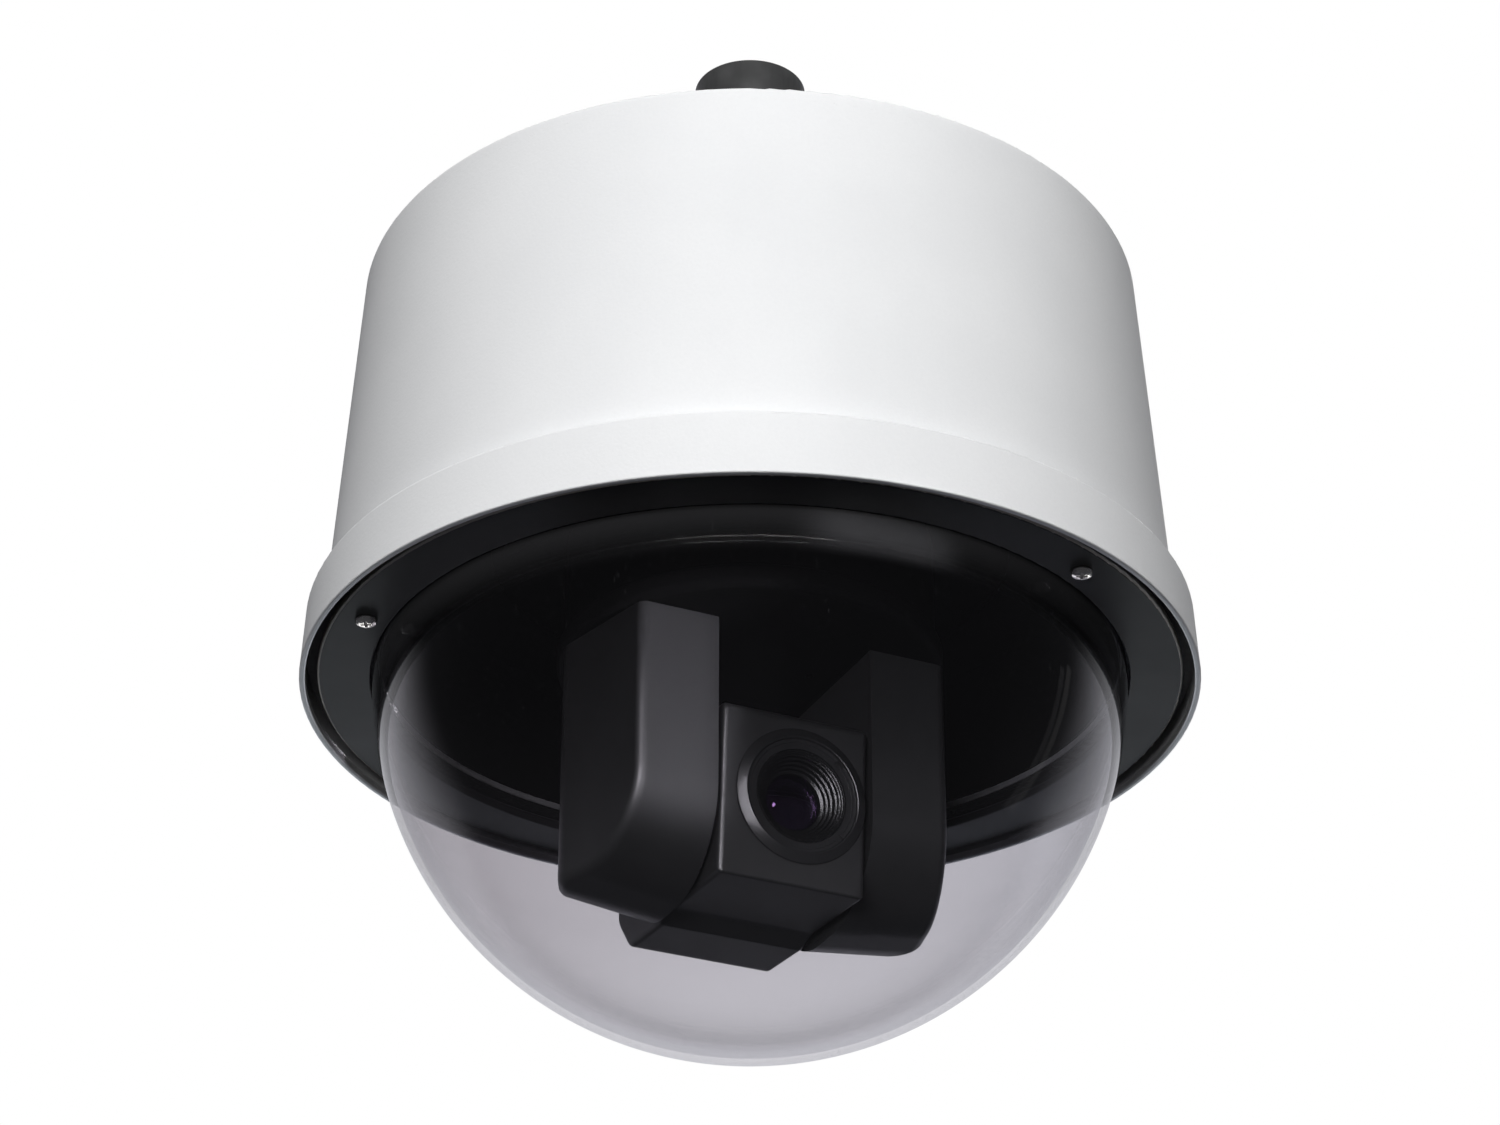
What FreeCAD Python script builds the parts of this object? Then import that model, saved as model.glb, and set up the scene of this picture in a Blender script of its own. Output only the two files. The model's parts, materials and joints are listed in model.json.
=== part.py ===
"""Pendant dome housing with an inverted pan-tilt-zoom camera inside it.

Millimetres, +Z up. Everything is drawn from the plane of the skirt's lower rim,
and moved down on export so that the origin is the centre of the pipe's top end.
The camera is drawn facing -Y and turned by PAN about the vertical axis; its head
is drawn level about the tilt axis and turned down by TILT.
"""
import FreeCAD
import Part
import os
from math import acos, cos, pi, radians, sin, tan

V = FreeCAD.Vector
X, Y, Z = V(1, 0, 0), V(0, 1, 0), V(0, 0, 1)

# housing
PIPE_R = 24.13          # 1.5 in NPT pipe
PIPE_BORE_R = 20.45
PIPE_TOP = 301.0
SPIGOT_R = 23.4         # the pipe's turned-down end inside the collar
SPIGOT_END = 225.0
SKIRT_R = 180.5
SKIRT_TOP_R = 179.1
SKIRT_H = 27.4
SKIRT_INNER_R = 178.0
CAN_R = 172.3
CAN_TOP_R = 162.8
CAN_TOP = 184.2
CAN_WALL = 2.0
CROWN_R = 108.0         # flat middle of the can's top
CROWN_TOP = 194.0
LEDGE_Z = 10.5
LEDGE_T = 2.5
RING_R = 173.4
RING_BORE_R = 152.3
RING_Z = 3.0
RING_T = 3.0
DOME_R = 151.5
DOME_WALL = 3.0
DOME_FLANGE_R = 156.0
SCREW_CIRCLE_R = 161.7
SCREW_ANGLES = (82.0, 203.0, 321.0)
LINER_TOP = 66.0
LINER_T = 2.0
LINER_ROOF_R = 132.0
LINER_SCREW_R = 155.5
LINER_ANGLES = (20, 140, 260)
PLATE_Z = 70.0
PLATE_T = 3.0
PLATE_R = 128.0

# camera
PAN = 25.0
TILT = 4.3
BASE_R = 75.0
BASE_BOTTOM = 21.0
TABLE_R = 78.0
TABLE_Z = 10.0
TABLE_T = 10.0
WALL = 2.5
GAP = 33.0              # half of the space between the arms
ARM_OUT = 66.0          # front corner of an arm
ARM_FRONT = 42.3
ARM_BACK = 40.0
ARM_BOTTOM = -98.5
ARM_BEND = 38.0
AXIS_F = 4.3            # tilt axis, ahead of the pan axis
AXIS_Z = -60.5
HEAD_HALF = 31.0
FACE = 36.1             # lens face ahead of the tilt axis
SEAM = 27.0
HEAD_BACK = 62.8
HEAD_TOP = 37.3
HEAD_BOTTOM = -38.0
LENS_X = 2.8
LENS_W = 3.4
BEZEL_R = 27.8
MOUTH_R = 19.2

# gears
PAN_TEETH, PAN_MODULE = 60, 1.2
TILT_TEETH, TILT_MODULE = 48, 0.75
PINION_TEETH = 18
PRESSURE = radians(20)
BACKLASH = 0.16

SLIP = 0.05             # running clearance on a radius


# ---------------------------------------------------------------- helpers
def rod(r, a, b, axis=Z, at=V(0, 0, 0)):
    """Cylinder from a to b along an axis through a point."""
    return Part.makeCylinder(r, b - a, at + axis * a, axis)


def tube(r_out, r_in, a, b, axis=Z, at=V(0, 0, 0)):
    return rod(r_out, a, b, axis, at).cut(rod(r_in, a - 1, b + 1, axis, at))


def box(x0, x1, y0, y1, z0, z1):
    return Part.makeBox(x1 - x0, y1 - y0, z1 - z0, V(x0, y0, z0))


def outline(points, place):
    """Closed wire: a point is (u, v), or (u, v, radius) for a rounded corner."""
    edges, ends = [], []
    count = len(points)
    for i, point in enumerate(points):
        here = V(point[0], point[1], 0)
        back = V(*points[i - 1][:2], 0) - here
        ahead = V(*points[(i + 1) % count][:2], 0) - here
        if len(point) == 2:
            ends.append((here, None, here))
            continue
        back.normalize()
        ahead.normalize()
        half = acos(max(-1, min(1, back.dot(ahead)))) / 2
        reach = point[2] / tan(half)
        middle = (back + ahead).normalize()
        centre = here + middle * (point[2] / sin(half))
        ends.append((here + back * reach, centre - middle * point[2], here + ahead * reach))
    for i, (start, via, end) in enumerate(ends):
        if via is not None:
            edges.append(Part.Arc(place(start), place(via), place(end)).toShape())
        following = ends[(i + 1) % count][0]
        if (following - end).Length > 1e-6:
            edges.append(Part.makeLine(place(end), place(following)))
    return Part.Wire(edges)


def prism(points, place, start, end, along):
    """Extrude an outline from start to end along an axis."""
    face = Part.Face(outline(points, place))
    face.translate(along * start)
    return face.extrude(along * (end - start))


def ring_of(points):
    """Solid of revolution about Z from an outline of (radius, height) points."""
    face = Part.Face(outline(points, lambda p: V(p.x, 0, p.y)))
    return face.revolve(V(0, 0, 0), Z, 360)


def plan(points, z0, z1):
    return prism(points, lambda p: V(p.x, -p.y, 0), z0, z1, Z)


def side(points, x0, x1):
    return prism(points, lambda p: V(0, -p.x, p.y), x0, x1, X)


def around(shape, angles, axis=Z, at=V(0, 0, 0)):
    """Copies of a shape turned to each angle."""
    copies = []
    for angle in angles:
        copy = shape.copy()
        copy.rotate(at, axis, angle)
        copies.append(copy)
    return copies


def group(shapes):
    return Part.makeCompound(shapes)


def less(shape, cutters):
    for cutter in cutters:
        shape = shape.cut(cutter)
    return shape


def joined(shape, others):
    for other in others:
        shape = shape.fuse(other)
    return shape.removeSplitter()


def screw(r, head_r, head_h, length, at, down=True):
    """Pan-head screw whose head sits on a face at the given point."""
    axis = Z if down else Z * -1
    head = rod(head_r, 0, head_h, axis, at)
    top = head.Edges[0] if abs(head.Edges[0].BoundBox.ZMax - at.z) > 0.1 else head.Edges[2]
    head = head.makeFillet(head_h * 0.45, [top])
    slot = joined(box(-head_r * 0.55, head_r * 0.55, -0.4, 0.4, -1, 1),
                  [box(-0.4, 0.4, -head_r * 0.55, head_r * 0.55, -1, 1)])
    slot.translate(at + axis * head_h)
    return head.cut(slot).fuse(rod(r, -length, 0, axis, at))


def gear(teeth, module, a, b, bore, turn=0.0):
    """Spur gear about Z with involute flanks and a round bore."""
    pitch = teeth * module / 2
    base = pitch * cos(PRESSURE)
    root = pitch - 1.25 * module
    tip = pitch + module
    half = pi / (2 * teeth) - BACKLASH / (2 * pitch) + tan(PRESSURE) - PRESSURE

    def flank(r):
        lean = acos(min(1.0, base / r))
        return half - (tan(lean) - lean)

    foot = max(base, root)
    radii = [foot + (tip - foot) * step / 4 for step in range(5)]
    tooth = [(root, flank(foot))] + [(r, flank(r)) for r in radii if r > root + 1e-3]
    points = []
    for index in range(teeth):
        centre = radians(turn) + 2 * pi * index / teeth
        for r, lean in [(r, -lean) for r, lean in tooth] + tooth[::-1]:
            points.append(V(r * cos(centre + lean), r * sin(centre + lean), a))
    blank = Part.Face(Part.makePolygon(points + points[:1])).extrude(Z * (b - a))
    return blank.cut(rod(bore, a - 1, b + 1))


def about_x(shape, at):
    """Turn a shape made about Z so that its axis runs along X through a point."""
    shape.rotate(V(0, 0, 0), Y, 90)
    shape.translate(at)
    return shape


def moved(shape, at):
    shape.translate(at)
    return shape


def soft_edges(shape, radius, wanted):
    return shape.makeFillet(radius, [edge for edge in shape.Edges if wanted(edge)])


def save(name, shape, turn=0.0):
    if turn:
        shape.rotate(V(0, 0, 0), Z, turn)
    shape.translate(V(0, 0, -PIPE_TOP))
    shape.exportStep("parts/%s.step" % name)


# ---------------------------------------------------------------- housing
COLLAR_Z = CROWN_TOP + 1.5
COLLAR_TOP = 279.5
COLLAR_SCREW_R = 53.0
QUARTERS = (45, 135, 225, 315)
SIXTHS = range(30, 390, 60)
CAN_SCREW_R = 166.0
LEDGE_TOP = LEDGE_Z + LEDGE_T
CAN_SEAM = CAN_TOP - 6.0
POST_R = 98.0           # posts that hang the camera plate from the crown


def can_shell():
    """Tapered can with a low crown and an inward flange at its foot."""
    corner = 3.0
    outer = [(0, CROWN_TOP), (CROWN_R, CROWN_TOP, 30), (CAN_TOP_R, CAN_TOP, corner),
             (CAN_R, SKIRT_H), (CAN_R, LEDGE_TOP)]
    inner = [(CAN_R - 11, LEDGE_TOP), (CAN_R - 11, LEDGE_TOP + CAN_WALL),
             (CAN_R - CAN_WALL, LEDGE_TOP + CAN_WALL), (CAN_R - CAN_WALL, SKIRT_H),
             (CAN_TOP_R - CAN_WALL + 0.1, CAN_TOP - CAN_WALL - 0.4, corner - 1.5),
             (CROWN_R, CROWN_TOP - CAN_WALL, 28), (0, CROWN_TOP - CAN_WALL)]
    return ring_of(outer + inner)


def save_can():
    """The can's wall and the crown seamed on top of it."""
    shell = can_shell()
    above = rod(SKIRT_R, CAN_SEAM, PIPE_TOP)
    feet = around(rod(2.1, 0, 20, Z, V(CAN_SCREW_R, 0, 0)), SIXTHS)
    save("housing_can", less(shell.cut(above), feet))
    holes = [rod(PIPE_BORE_R, CAN_SEAM, PIPE_TOP)]
    holes += around(rod(2.6, CAN_SEAM, PIPE_TOP, Z, V(COLLAR_SCREW_R, 0, 0)), QUARTERS)
    holes += around(rod(2.1, CAN_SEAM, PIPE_TOP, Z, V(POST_R, 0, 0)), QUARTERS)
    save("housing_crown", less(shell.common(above), holes))


def housing_skirt():
    """Cast rim with a ledge inside it that the can, the liner and the dome fasten to."""
    points = [(SKIRT_INNER_R, 0, 0.8), (SKIRT_R, 0, 0.8), (SKIRT_TOP_R, SKIRT_H, 1.5),
              (CAN_R + 0.1, SKIRT_H), (CAN_R + 0.1, LEDGE_TOP), (149.0, LEDGE_TOP),
              (149.0, LEDGE_Z), (SKIRT_INNER_R, LEDGE_Z)]
    body = ring_of(points)
    bosses = around(rod(5, RING_Z + RING_T, LEDGE_Z + 1, Z, V(SCREW_CIRCLE_R, 0, 0)), SCREW_ANGLES)
    holes = around(rod(2, 0, 20, Z, V(SCREW_CIRCLE_R, 0, 0)), SCREW_ANGLES)
    holes += around(rod(2, 0, 20, Z, V(CAN_SCREW_R, 0, 0)), SIXTHS)
    holes += around(rod(2, 0, 20, Z, V(LINER_SCREW_R, 0, 0)), LINER_ANGLES)
    return less(joined(body, bosses), holes)


def dome_ring():
    points = [(RING_BORE_R, RING_Z, 0.6), (RING_R, RING_Z, 1.0), (RING_R, RING_Z + RING_T),
              (RING_BORE_R, RING_Z + RING_T)]
    plate = ring_of(points)
    return less(plate, around(rod(2.3, 0, 10, Z, V(SCREW_CIRCLE_R, 0, 0)), SCREW_ANGLES))


def clear_dome():
    """Hemisphere hanging from its equator, with a flat flange above it."""
    level = RING_Z + RING_T
    inside = DOME_R - DOME_WALL
    low, low_in = level - DOME_R, level - inside
    lean = sin(radians(45))
    edges = [
        Part.Arc(V(0, 0, low), V(DOME_R * lean, 0, level - DOME_R * lean),
                 V(DOME_R, 0, level)).toShape(),
        Part.makeLine(V(DOME_R, 0, level), V(DOME_FLANGE_R, 0, level)),
        Part.makeLine(V(DOME_FLANGE_R, 0, level), V(DOME_FLANGE_R, 0, level + 3)),
        Part.makeLine(V(DOME_FLANGE_R, 0, level + 3), V(inside, 0, level + 3)),
        Part.makeLine(V(inside, 0, level + 3), V(inside, 0, level)),
        Part.Arc(V(inside, 0, level), V(inside * lean, 0, level - inside * lean),
                 V(0, 0, low_in)).toShape(),
        Part.makeLine(V(0, 0, low_in), V(0, 0, low)),
    ]
    return Part.Face(Part.Wire(edges)).revolve(V(0, 0, 0), Z, 360)


def save_liner():
    """Black bowl that hides the works above the camera, in two pieces: wall and roof."""
    points = [(160.5, LEDGE_TOP), (160.5, LEDGE_TOP + LINER_T), (149.5, LEDGE_TOP + LINER_T),
              (142, LINER_TOP, 8), (106, LINER_TOP), (106, LINER_TOP - LINER_T),
              (140, LINER_TOP - LINER_T, 6), (147.5, LEDGE_TOP)]
    bowl = ring_of(points)
    roof = rod(LINER_ROOF_R, LEDGE_TOP, LINER_TOP + 1)
    feet = around(rod(2.1, 0, 30, Z, V(LINER_SCREW_R, 0, 0)), LINER_ANGLES)
    save("liner", less(bowl.cut(roof), feet))
    save("liner_roof", bowl.common(roof))


def pipe_collar():
    points = [(PIPE_BORE_R, COLLAR_Z), (60, COLLAR_Z, 1.5), (60, COLLAR_Z + 7, 2.5),
              (50, COLLAR_Z + 8, 6), (33, COLLAR_Z + 42, 20), (28.8, COLLAR_TOP, 1.5),
              (SPIGOT_R + SLIP, COLLAR_TOP), (SPIGOT_R + SLIP, SPIGOT_END), (PIPE_BORE_R, SPIGOT_END)]
    body = ring_of(points)
    holes = around(rod(2.6, 190, 210, Z, V(COLLAR_SCREW_R, 0, 0)), QUARTERS)
    seats = around(rod(5.4, COLLAR_Z + 6, 230, Z, V(COLLAR_SCREW_R, 0, 0)), QUARTERS)
    return less(body, holes + seats)


def make_housing():
    pipe = joined(rod(SPIGOT_R, SPIGOT_END, COLLAR_TOP), [rod(PIPE_R, COLLAR_TOP, PIPE_TOP)])
    save("mounting_pipe", pipe.cut(rod(PIPE_BORE_R, SPIGOT_END - 1, PIPE_TOP + 1)))
    save("pipe_collar", pipe_collar())
    save("collar_gasket", less(tube(60, PIPE_BORE_R, CROWN_TOP, COLLAR_Z),
                               around(rod(2.6, 190, 200, Z, V(COLLAR_SCREW_R, 0, 0)), QUARTERS)))
    backing = tube(60, PIPE_BORE_R + 6, CROWN_TOP - CAN_WALL - 3, CROWN_TOP - CAN_WALL)
    threads = around(rod(2.5, 180, 200, Z, V(COLLAR_SCREW_R, 0, 0)), QUARTERS)
    save("collar_backing_ring", less(backing, threads))
    bolt = screw(2.5, 4.6, 3.0, 15, V(COLLAR_SCREW_R, 0, COLLAR_Z + 6))
    save("collar_screws", group(around(bolt, QUARTERS)))
    save_can()
    save("housing_skirt", housing_skirt())
    save("dome_ring", dome_ring())
    save("dome_gasket", tube(DOME_FLANGE_R, 149.5, RING_Z + RING_T + 3, LEDGE_Z))
    save("clear_dome", clear_dome())
    held = screw(2, 4.4, 2.6, 9.5, V(SCREW_CIRCLE_R, 0, RING_Z), False)
    save("ring_screws", group(around(held, SCREW_ANGLES)))
    save_liner()
    fixings = around(screw(2, 3.6, 2.4, 4.4, V(CAN_SCREW_R, 0, LEDGE_TOP + CAN_WALL)), SIXTHS)
    fixings += around(screw(2, 3.6, 2.4, 4.4, V(LINER_SCREW_R, 0, LEDGE_TOP + LINER_T)), LINER_ANGLES)
    save("ledge_screws", group(fixings))


# ---------------------------------------------------------------- works above the camera
PLATE_TOP = PLATE_Z + PLATE_T
POST_TOP = CROWN_TOP - CAN_WALL
FAN = V(-92, 0, 0)
HEATER = V(92, 0, 0)
LEAD_Y = 97.0
BOARD_Z = 112.0
BASE_SCREW_R = 50.0


def fan_rotor():
    """Hub with seven pitched blades."""
    hub = rod(11, PLATE_TOP + 5, PLATE_TOP + 17, Z, FAN)
    blade = box(10, 26, -1, 1, -7, 7)
    blade.rotate(V(0, 0, 0), X, 52)
    blade.translate(FAN + V(0, 0, PLATE_TOP + 11))
    return joined(hub, around(blade, [360 * k / 7 for k in range(7)], Z, FAN)).cut(rod(1.5, 0, 120, Z, FAN))


def fan_frame():
    body = box(-30, 30, -30, 30, PLATE_TOP, PLATE_TOP + 20)
    body = body.makeFillet(4, [e for e in body.Edges if e.BoundBox.ZLength > 15])
    body = body.cut(rod(28, 0, 200))
    arms = around(box(0, 29, -1.5, 1.5, PLATE_TOP + 18, PLATE_TOP + 20), (45, 135, 225, 315))
    axle = [rod(9, PLATE_TOP + 18, PLATE_TOP + 20), rod(1.45, PLATE_TOP + 4, PLATE_TOP + 20)]
    body = joined(body, arms + axle)
    holes = around(rod(2, 0, 200, Z, V(25 * 2 ** 0.5, 0, 0)), QUARTERS)
    body = less(body, holes)
    body.translate(FAN)
    return body


def heater_block():
    body = box(-18, 18, -34, 34, PLATE_TOP, PLATE_TOP + 8)
    fins = [box(-18, 18, y, y + 2, PLATE_TOP + 8, PLATE_TOP + 30) for y in range(-34, 34, 6)]
    body = joined(body, fins)
    body.translate(HEATER)
    return body


def camera_lead():
    """Lead from the camera's socket up through the plate to the terminal block."""
    r, bend, low, high, start, end = 2.5, 9.0, 46.0, 124.0, 84.0, 52.0
    corner = LEAD_Y - bend
    near = bend * (1 - cos(pi / 4))
    edges = [
        Part.makeLine(V(0, start, low), V(0, corner, low)),
        Part.Arc(V(0, corner, low), V(0, LEAD_Y - near, low + near), V(0, LEAD_Y, low + bend)).toShape(),
        Part.makeLine(V(0, LEAD_Y, low + bend), V(0, LEAD_Y, high - bend)),
        Part.Arc(V(0, LEAD_Y, high - bend), V(0, LEAD_Y - near, high - near), V(0, corner, high)).toShape(),
        Part.makeLine(V(0, corner, high), V(0, end, high)),
    ]
    section = Part.Wire([Part.makeCircle(r, V(0, start, low), Y)])
    return Part.Wire(edges).makePipeShell([section], True, True)


def make_works():
    holes = around(rod(2.1, 0, 90, Z, V(POST_R, 0, 0)), QUARTERS)
    holes += around(rod(2.1, 0, 90, Z, V(BASE_SCREW_R, 0, 0)), QUARTERS)
    holes += [rod(7, 0, 90, Z, V(0, LEAD_Y, 0)), rod(22, 0, 90, Z, FAN)]
    save("camera_plate", less(rod(PLATE_R, PLATE_Z, PLATE_TOP), holes))
    posts = around(tube(5, 2, PLATE_TOP, POST_TOP, Z, V(POST_R, 0, 0)), QUARTERS)
    corners = [V(x, y, 0) for x in (-48, 48) for y in (-38, 38)]
    save("plate_posts", group(posts + [rod(3, PLATE_TOP, BOARD_Z, Z, at) for at in corners]))
    above = around(screw(2, 3.8, 2.4, 14, V(POST_R, 0, CROWN_TOP)), QUARTERS)
    below = around(screw(2, 3.8, 2.4, 14, V(POST_R, 0, PLATE_Z), False), QUARTERS)
    base = around(screw(2, 3.8, 2.4, 14, V(BASE_SCREW_R, 0, PLATE_TOP)), QUARTERS)
    chassis = around(screw(1.5, 2.8, 2, 11, V(CHASSIS_SCREW_R, 0, CHASSIS_Z), False), CHASSIS_ANGLES)
    save("plate_screws", group(above + below + base + chassis))
    grommet = tube(7, 3, PLATE_Z, PLATE_TOP, Z, V(0, LEAD_Y, 0))
    lips = [tube(9, 3, z, z + 1.5, Z, V(0, LEAD_Y, 0)) for z in (PLATE_Z - 1.5, PLATE_TOP)]
    save("lead_grommet", joined(grommet, lips))
    plugs = [box(-4, 4, 72.4, 84, 42, 50), box(-8, 8, 44, 52, BOARD_Z + 6, BOARD_Z + 15)]
    save("camera_lead", group([camera_lead()] + plugs))
    save("fan_frame", fan_frame())
    save("fan_rotor", fan_rotor())
    save("heater_block", heater_block())
    stat = rod(8, PLATE_TOP, PLATE_TOP + 5, Z, V(60, 88, 0))
    button = rod(5, PLATE_TOP + 5, PLATE_TOP + 8, Z, V(60, 88, 0))
    tabs = [box(x, x + 2, 87, 89, PLATE_TOP + 4.5, PLATE_TOP + 12) for x in (53, 65)]
    save("thermostat", joined(stat, [button] + tabs))
    save("power_board", box(-54, 54, -44, 44, BOARD_Z, BOARD_Z + 1.6))
    core = box(-44, -6, -30, 8, BOARD_Z + 1.6, BOARD_Z + 30)
    transformer = joined(core, [box(-38, -12, -36, 14, BOARD_Z + 5, BOARD_Z + 26)])
    capacitors = [rod(7, BOARD_Z + 1.6, BOARD_Z + 24, Z, V(14, y, 0)) for y in (-28, -10, 8)]
    save("power_parts", group([transformer] + capacitors))
    block = box(-26, 26, 34, 44, BOARD_Z + 1.6, BOARD_Z + 15)
    mouths = [rod(2.2, BOARD_Z + 5, BOARD_Z + 16, Z, V(x, 39, 0)) for x in range(-21, 22, 7)]
    save("terminal_block", less(block, mouths))


# ---------------------------------------------------------------- camera base and pan drive
PAN_HUB_R = 9.0
PAN_PITCH = PAN_TEETH * PAN_MODULE / 2
PAN_REACH = (PAN_TEETH + PINION_TEETH) * PAN_MODULE / 2
CHASSIS_Z = 32.0
CHASSIS_T = 3.0
THIRDS = (90, 210, 330)
CHASSIS_SCREW_R = 64.0
CHASSIS_ANGLES = (30, 150, 270)
BUSH_TOP = 44.0
PINION_STEP = 180.0 / PINION_TEETH
TABLE_SCREW_X = 44.0
WIRE_X = 57.0           # wires go down into the arms here


def camera_base():
    points = [(BASE_R - WALL, BASE_BOTTOM), (BASE_R, BASE_BOTTOM), (BASE_R, PLATE_Z, 3), (0, PLATE_Z),
              (0, PLATE_Z - 3), (BASE_R - WALL, PLATE_Z - 3)]
    shell = ring_of(points)
    posts = around(rod(4.5, CHASSIS_Z + CHASSIS_T, PLATE_Z - 2, Z, V(CHASSIS_SCREW_R, 0, 0)), CHASSIS_ANGLES)
    posts += around(rod(5, PLATE_Z - 14, PLATE_Z - 2, Z, V(BASE_SCREW_R, 0, 0)), QUARTERS)
    holes = around(rod(1.5, 0, 50, Z, V(CHASSIS_SCREW_R, 0, 0)), CHASSIS_ANGLES)
    holes += around(rod(2, PLATE_Z - 12.5, 80, Z, V(BASE_SCREW_R, 0, 0)), QUARTERS)
    window = box(-16, 16, 60, 80, 38, 54)
    return less(joined(shell, posts), holes + [window])


def pan_chassis():
    plate = rod(70, CHASSIS_Z, CHASSIS_Z + CHASSIS_T)
    hub = rod(17, CHASSIS_Z, BUSH_TOP)
    holes = around(rod(1.6, 0, 50, Z, V(CHASSIS_SCREW_R, 0, 0)), CHASSIS_ANGLES)
    holes += [rod(14, 0, 60), rod(6, 0, 60, Z, V(0, PAN_REACH, 0))]
    holes += around(rod(14, 0, 60, Z, V(44, 0, 0)), (0, 180, 270))
    return less(joined(plate, [hub]), holes)


def turntable():
    """Disc closed below, with a channel inside it from the shaft's bore to each arm."""
    top = TABLE_Z + TABLE_T
    points = [(0, TABLE_Z), (TABLE_R, TABLE_Z, 3.5), (TABLE_R, top, 1.5), (0, top)]
    holes = [rod(1.6, 0, 30, Z, V(x, -f, 0)) for x in (-TABLE_SCREW_X, TABLE_SCREW_X) for f in (-18, 22)]
    holes += around(rod(1.5, 0, 30, Z, V(24, 0, 0)), THIRDS)
    holes += [rod(6, TABLE_Z + 3, 30), box(-WIRE_X, WIRE_X, -3, 3, TABLE_Z + 3, TABLE_Z + 7)]
    holes += [rod(3, 0, TABLE_Z + 7, Z, V(x, 0, 0)) for x in (-WIRE_X, WIRE_X)]
    return less(ring_of(points), holes)


def make_base():
    save("camera_base", camera_base())
    save("pan_chassis", pan_chassis())
    save("pan_bush", joined(tube(14, PAN_HUB_R + SLIP, CHASSIS_Z - 1, BUSH_TOP),
                            [tube(18, PAN_HUB_R + SLIP, CHASSIS_Z - 3, CHASSIS_Z)]))
    at = V(0, PAN_REACH, 0)
    motor = joined(rod(16, CHASSIS_Z + CHASSIS_T, CHASSIS_Z + 24, Z, at),
                   [rod(5.5, CHASSIS_Z + 0.5, CHASSIS_Z + 5, Z, at)])
    save("pan_motor", motor.cut(rod(1.5 + SLIP, 0, CHASSIS_Z + 20, Z, at)))
    pinion = gear(PINION_TEETH, PAN_MODULE, 22.5, 28.5, 1.5, 90 + PINION_STEP)
    pinion.translate(at)
    save("pan_pinion", group([pinion, rod(1.5, 22.0, CHASSIS_Z + 18, Z, at)]))
    panel = box(-15.9, 15.9, 69, 72.4, 38.1, 53.9)
    sockets = [rod(5, 72, 80, Y, V(x, 0, 46)) for x in (-9.5, 9.5)]
    save("connector_panel", joined(panel, sockets).cut(rod(3.2, 60, 90, Y, V(-9.5, 0, 46))))
    save("control_board", less(rod(58, 62, 63.6), around(rod(6, 0, 80, Z, V(BASE_SCREW_R, 0, 0)), QUARTERS)))

    save("turntable", turntable(), PAN)
    shaft = joined(tube(PAN_HUB_R, 6, TABLE_Z + TABLE_T, 50), [tube(28, 6, TABLE_Z + TABLE_T, 22)])
    shaft = less(shaft, around(rod(1.5, 0, 30, Z, V(24, 0, 0)), THIRDS))
    save("pan_shaft", group([shaft, tube(16, PAN_HUB_R, BUSH_TOP + 0.2, BUSH_TOP + 2)]), PAN)
    screw_angles = [angle + PAN for angle in THIRDS]
    wheel = gear(PAN_TEETH, PAN_MODULE, 22, 28, 20, 90)
    save("pan_gear", less(wheel, around(rod(1.5, 0, 30, Z, V(24, 0, 0)), screw_angles)))
    fixings = around(screw(1.5, 2.6, 1.8, 14, V(24, 0, 28)), THIRDS)
    fixings += [screw(1.5, 2.6, 1.8, 11.9, V(x, -f, TABLE_Z + TABLE_T))
                for x in (-TABLE_SCREW_X, TABLE_SCREW_X) for f in (-18, 22)]
    save("turntable_screws", group(fixings), PAN)


# ---------------------------------------------------------------- yoke
ARM_RISE = 6.5          # an arm's underside rises outward
ARM_HEEL = 33.0
CREASE = 4.5
AXIS = V(0, -AXIS_F, AXIS_Z)
BRACKET_X = 37.0
BRACKET_T = 2.0
GEAR_X = 41.0
GEAR_T = 4.0
TILT_REACH = (TILT_TEETH + PINION_TEETH) * TILT_MODULE / 2
MOTOR_AT = V(0, -AXIS_F, AXIS_Z + TILT_REACH)


def arm_profile(x, inset, low, bend, z_top):
    """Side outline of an arm in the plane at x: straight front, rounded toe and heel."""
    points = [(ARM_FRONT - inset, z_top), (ARM_FRONT - inset, low + inset, bend - inset),
              (-ARM_BACK + inset, low + inset, ARM_HEEL - inset), (-ARM_BACK + inset, z_top)]
    return outline(points, lambda p: V(x, -p.x, p.y))


def arm_form(inset, inner_x, z_top):
    """Solid of the right arm, every outer face moved in by inset."""
    wires = [arm_profile(GAP - 2, inset, ARM_BOTTOM, ARM_BEND, z_top),
             arm_profile(84, inset, ARM_BOTTOM + ARM_RISE, ARM_BEND - 3, z_top)]
    body = Part.makeLoft(wires, True, True)
    footprint = [(inner_x, ARM_FRONT + 5), (ARM_OUT - inset - 1.2, ARM_FRONT + 5), (78.4 - inset, -7, 12),
                 (66 - inset, -35 + inset, 10), (56, -ARM_BACK - 1), (inner_x, -ARM_BACK - 1)]
    return body.common(plan(footprint, ARM_BOTTOM - 5, z_top))


def arm_shell():
    outer = arm_form(0, GAP, TABLE_Z)

    def on_crease(edge):
        middle = edge.valueAt((edge.FirstParameter + edge.LastParameter) / 2)
        outside = middle.x > ARM_OUT - 8 and middle.z < TABLE_Z - 5
        return outside and (middle.y < -ARM_FRONT + 0.5 or middle.z < AXIS_Z - 5)

    outer = soft_edges(outer, CREASE, on_crease)
    return outer.cut(arm_form(WALL, GAP - 1, TABLE_Z + 1))


def inner_cover():
    plate = arm_form(WALL + 0.1, GAP, TABLE_Z - 0.1).common(box(GAP, GAP + 2, -60, 60, -120, 20))
    return less(plate, [rod(6.5, 0, 60, X, AXIS)])


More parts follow.
